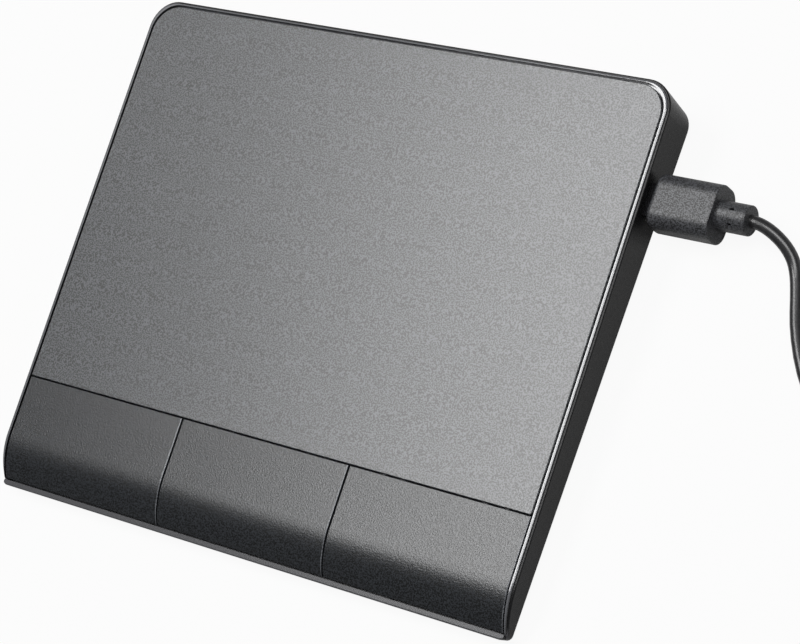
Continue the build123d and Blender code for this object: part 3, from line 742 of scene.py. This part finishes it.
@dataclass
class DevicePlug:
    """The plug in the trackpad's side: overmould with strain relief, and its metal in the port."""

    def build(self) -> None:
        """Dresses the plug."""
        dress(["device_plug"], Finish.OVERMOULD_PVC)
        # The shell's dark nickel is painted shade, standing for the band between the overmould and
        # the wall
        dress(["device_plug_shell"], Finish.BLACK_NICKEL)
        dress(["device_plug_core"], Finish.CHIP_EPOXY)


@dataclass
class FarPlug:
    """The plug at the cord's far end."""

    def build(self) -> None:
        """Dresses the plug."""
        dress(["far_plug"], Finish.OVERMOULD_PVC)
        dress(["far_plug_shell"], Finish.NICKEL_STEEL)
        dress(["far_plug_insulator"], Finish.INSULATOR_PBT)
        dress(["far_plug_contacts"], Finish.CONTACT_GOLD)


@dataclass
class UsbCord:
    """The cord from the strain relief, along the table, through its tied coil, to the far plug.

    Attributes:
        diameter: The jacket's diameter.
        length: The cord's real length. It is not used.
        lead: The route's points from the strain relief to the coil.
        centre: The coil's middle, in plan.
        outer_radius: Radius of the outermost turn.
        pitch: Distance between neighbouring turns, and between layers.
        half_steps: Half turns in a layer.
        points_per_half: Points that draw a half turn.
        coil_height: Height of the lowest layer's middle.
        tail: The route's points from the coil to the far plug.
        order: The curve's order, which keeps it smooth through its points.
        curve_steps: Pieces that the curve is cut into between two points.
        ring_steps: How finely the jacket is rounded.
        near_plug: The plug at the strain relief. It is not used.
        ties: The straps round the coil.
        far_plug: The plug at the far end. It is not used.
    """

    diameter: float = 0.0025
    length: float = 1.49
    lead: tuple[Point, ...] = (
        (0.0868, 0.03245, 0.0055),
        (0.0895, 0.0316, 0.0048),
        (0.0922, 0.0300, 0.0035),
        (0.0940, 0.0281, 0.0022),
        (0.0952, 0.0258, 0.0014),
        (0.0966, 0.0222, 0.0013),
        (0.0989, 0.0150, 0.0013),
        (0.1040, 0.0060, 0.0013),
        (0.1115, -0.0015, 0.0013),
        (0.1185, -0.0075, 0.0014),
        (0.1232, -0.0125, 0.0017),
        (0.1249, -0.0172, 0.0022),
    )
    centre: tuple[float, float] = (0.144, -0.022)
    outer_radius: float = 0.0191
    pitch: float = 0.00298
    half_steps: int = 8
    points_per_half: int = 6
    coil_height: float = 0.0022
    tail: tuple[Point, ...] = (
        (0.1631, -0.0160, 0.01114),
        (0.1637, -0.0080, 0.0091),
        (0.1645, 0.0, 0.0061),
        (0.1651, 0.0070, 0.0040),
        (0.1651, 0.0130, 0.0040),
    )
    order: int = 3
    curve_steps: int = 3
    ring_steps: int = 4
    near_plug: tuple[str, ...] = ("device_plug", "device_plug_shell", "device_plug_core")
    ties: tuple[str, ...] = ("front_tie", "rear_tie")
    far_plug: tuple[str, ...] = (
        "far_plug",
        "far_plug_shell",
        "far_plug_insulator",
        "far_plug_contacts",
    )

    def coil(self) -> list[Vector]:
        """Winds the coil in four layers of half turns, drawn in and out by half a pitch each.

        Returns:
            The coil's points, from where the cord enters it to where it leaves.
        """
        layer = self.half_steps
        inward = list(range(layer))
        outward = inward[::-1]
        steps = [*inward, layer, *outward[:-1], 0, *inward[1:], layer, *outward]
        climbs = (layer, 2 * layer, 3 * layer)
        place = Vector((self.centre[0] - self.outer_radius, self.centre[1], self.coil_height))
        # The smooth curve cuts its points' corners, so they lie a little outside the turn
        spread = 1 / math.cos(math.pi / self.points_per_half / 2)
        points = [place.copy()]
        way = 1
        for index, step in enumerate(steps):
            radius = self.outer_radius - step * self.pitch / 2
            rise = self.pitch if index in climbs else 0.0
            middle = place + Vector((way * radius, 0.0, rise / 2))
            for part in range(1, self.points_per_half):
                turn = math.pi * part / self.points_per_half
                across = -way * radius * math.cos(turn) * spread
                along = -way * radius * math.sin(turn) * spread
                points.append(middle + Vector((across, along, -rise / 2 * math.cos(turn))))
            place = place + Vector((2 * way * radius, 0.0, rise))
            points.append(place + Vector((way * radius * (spread - 1), 0.0, 0.0)))
            way = -way
        points[-1] = place.copy()
        return points

    def line(self, points: list[Vector]) -> bpy.types.Object:
        """Draws the jacket along its points.

        Args:
            points: The points.

        Returns:
            The jacket.
        """
        curve = bpy.data.curves.new("usb_cord_line", "CURVE")
        curve.dimensions = "3D"
        curve.bevel_depth = self.diameter / 2
        curve.bevel_resolution = self.ring_steps
        curve.resolution_u = self.curve_steps
        curve.use_fill_caps = True
        spline = curve.splines.new("NURBS")
        spline.points.add(len(points) - 1)
        for knot, point in zip(spline.points, points):
            knot.co = (*point, 1.0)
        spline.order_u = self.order
        spline.use_endpoint_u = True
        cord = bpy.data.objects.new("cord_line", curve)
        bpy.context.scene.collection.objects.link(cord)
        curve.materials.append(Finish.CORD_PVC.material)
        return cord

    def build(self) -> None:
        low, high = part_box("device_plug")
        start = Vector((high.x, (low.y + high.y) / 2, (low.z + high.z) / 2))
        lead, tail = map(Vector, self.lead), map(Vector, self.tail)
        points = [start, *lead, *self.coil(), *tail]
        cord = self.line(points)
        dress(self.ties, Finish.TIE_POLYETHYLENE)
        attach(cord, HOUSING)
        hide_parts("usb_cord", "cord_coil", "cord_end")
        LOG.info("cord: %d points", len(points))


@dataclass(frozen=True)
class SoftBox:
    """A soft box that faces the middle of the housing.

    Attributes:
        name: The lamp's name.
        way: Where the box hangs, as a direction from the housing.
        distance: How far away it hangs, in metres.
        size: Its width across and its length along the housing's depth, in metres.
        radiance: How bright its face is, where a lit white sheet is 1.
    """

    name: str
    way: Point
    distance: float
    size: tuple[float, float]
    radiance: float

    def hang(self) -> None:
        """Hangs the box, with its length along the way from front to rear."""
        data = bpy.data.lights.new(self.name, "AREA")
        data.shape = "RECTANGLE"
        data.size, data.size_y = self.size
        data.energy = self.radiance * math.pi * self.size[0] * self.size[1]
        away = Vector(self.way).normalized()
        across = Vector((0.0, 1.0, 0.0)).cross(away).normalized()
        turn = Matrix((across, away.cross(across), away)).transposed()
        lamp = bpy.data.objects.new(self.name, data)
        lamp.matrix_world = Matrix.Translation(away * self.distance) @ turn.to_4x4()
        bpy.context.scene.collection.objects.link(lamp)


@dataclass
class Studio:
    """White floor and room, soft boxes and the camera.

    Attributes:
        eye: Where the camera stands.
        look: The way the camera looks.
        up: The way that is up in the picture.
        lens: Focal length, in millimetres.
        sensor: Width of the camera's sensor, in millimetres.
        nearest: The nearest thing that the camera shows, in metres.
        sky: Brightness of the room round the object.
        paint: How much light the floor throws back.
        floor_reach: How far the floor goes each way, in metres.
        floor_drop: How far the floor lies below the feet, in metres.
        seen_white: How much of what the camera sees of the floor is plain white. The rest keeps
            the shadow.
        mirrored_white: The same for what shiny and clear things show of it.
        boxes: The soft boxes.
    """

    eye: Point = (0.32326, -0.08903, 0.43154)
    look: Point = (-0.57328, 0.16573, -0.80242)
    up: Point = (-0.19061, 0.92549, 0.32732)
    lens: float = 122.61
    sensor: float = 36.0
    nearest: float = 0.01
    sky: float = 0.11
    paint: float = 0.36
    floor_reach: float = 6.0
    floor_drop: float = 0.0002
    seen_white: float = 0.93
    mirrored_white: float = 0.15
    boxes: tuple[SoftBox, ...] = (
        SoftBox("key_box", (-0.40, 0.10, 0.90), 1.0, (0.36, 0.70), 11.5),
        SoftBox("wing_box", (-0.70, 0.30, 0.70), 1.0, (0.34, 0.46), 1.2),
        SoftBox("overhead_box", (0.375, 0.12, 0.92), 1.1, (0.93, 0.45), 9.0),
    )

    def camera(self) -> None:
        """Stands the camera where the picture was taken from."""
        data = bpy.data.cameras.new("studio_camera")
        data.lens = self.lens
        data.sensor_width = self.sensor
        data.clip_start = self.nearest
        look = Vector(self.look).normalized()
        right = look.cross(Vector(self.up)).normalized()
        up = right.cross(look)
        turn = Matrix((right, up, -look)).transposed()
        camera = bpy.data.objects.new("studio_camera", data)
        camera.matrix_world = Matrix.Translation(self.eye) @ turn.to_4x4()
        bpy.context.scene.collection.objects.link(camera)
        bpy.context.scene.camera = camera

    def whitened(
        self, tree: bpy.types.NodeTree, lit: bpy.types.NodeSocket
    ) -> bpy.types.NodeSocket:
        """Mixes a lit shader with plain white, by who looks at it.

        Args:
            tree: The tree.
            lit: The lit shader's output.

        Returns:
            The mixed shader.
        """
        ray = add_node(tree, "ShaderNodeLightPath")
        seen = add_node(
            tree,
            "ShaderNodeMath",
            {0: ray.outputs["Is Camera Ray"], 1: self.seen_white},
            operation="MULTIPLY",
        )
        bounced = add_node(
            tree,
            "ShaderNodeMath",
            {0: ray.outputs["Is Glossy Ray"], 1: ray.outputs["Is Transmission Ray"]},
            operation="MAXIMUM",
        )
        share = add_node(
            tree,
            "ShaderNodeMath",
            {0: bounced.outputs[0], 1: self.mirrored_white, 2: seen.outputs[0]},
            operation="MULTIPLY_ADD",
        )
        white = add_node(tree, "ShaderNodeEmission", {"Color": WHITE, "Strength": 1.0})
        inputs = {0: share.outputs[0], 1: lit, 2: white.outputs[0]}
        return add_node(tree, "ShaderNodeMixShader", inputs).outputs[0]

    def floor(self) -> None:
        """Lays the pale floor, which keeps a trace of the object's shadow."""
        mesh = bpy.data.meshes.new("studio_floor")
        build = bmesh.new()
        bmesh.ops.create_grid(build, x_segments=1, y_segments=1, size=self.floor_reach)
        build.to_mesh(mesh)
        build.free()
        mesh.transform(Matrix.Translation((0.0, 0.0, -self.floor_drop)))
        material, tree = blank_material("studio_white")
        colour = (self.paint, self.paint, self.paint, 1.0)
        paint = add_node(tree, "ShaderNodeBsdfDiffuse", {"Color": colour})
        mixed = self.whitened(tree, paint.outputs[0])
        add_node(tree, "ShaderNodeOutputMaterial", {"Surface": mixed})
        mesh.materials.append(material)
        floor = bpy.data.objects.new("studio_floor", mesh)
        bpy.context.scene.collection.objects.link(floor)

    def room(self) -> None:
        """Fills the room with a dim even light and shows it white to the camera."""
        world = bpy.data.worlds.new("studio_room")
        bpy.context.scene.world = world
        world.use_nodes = True
        tree = world.node_tree
        tree.nodes.clear()
        ray = add_node(tree, "ShaderNodeLightPath")
        dim = add_node(tree, "ShaderNodeBackground", {"Color": WHITE, "Strength": self.sky})
        white = add_node(tree, "ShaderNodeBackground", {"Color": WHITE, "Strength": 1.0})
        mixed = add_node(
            tree,
            "ShaderNodeMixShader",
            {0: ray.outputs["Is Camera Ray"], 1: dim.outputs[0], 2: white.outputs[0]},
        )
        add_node(tree, "ShaderNodeOutputWorld", {"Surface": mixed.outputs[0]})

    def build(self) -> None:
        """Builds the studio."""
        self.camera()
        for box in self.boxes:
            box.hang()
        self.floor()
        self.room()
        bpy.context.scene.view_settings.view_transform = "Standard"


def main() -> None:
    """Builds the studio, then the trackpad's sub-assemblies in order."""
    logging.basicConfig(level=logging.INFO, format="%(message)s")
    assemblies: tuple[Assembly, ...] = (
        Studio(),
        UsbCord(),
        Housing(),
        TouchSurface(),
        Buttons(),
        Electronics(),
        DevicePlug(),
        FarPlug(),
    )
    for assembly in assemblies:
        assembly.build()
        LOG.info("built %s", type(assembly).__name__)


if __name__ == "__main__":
    main()
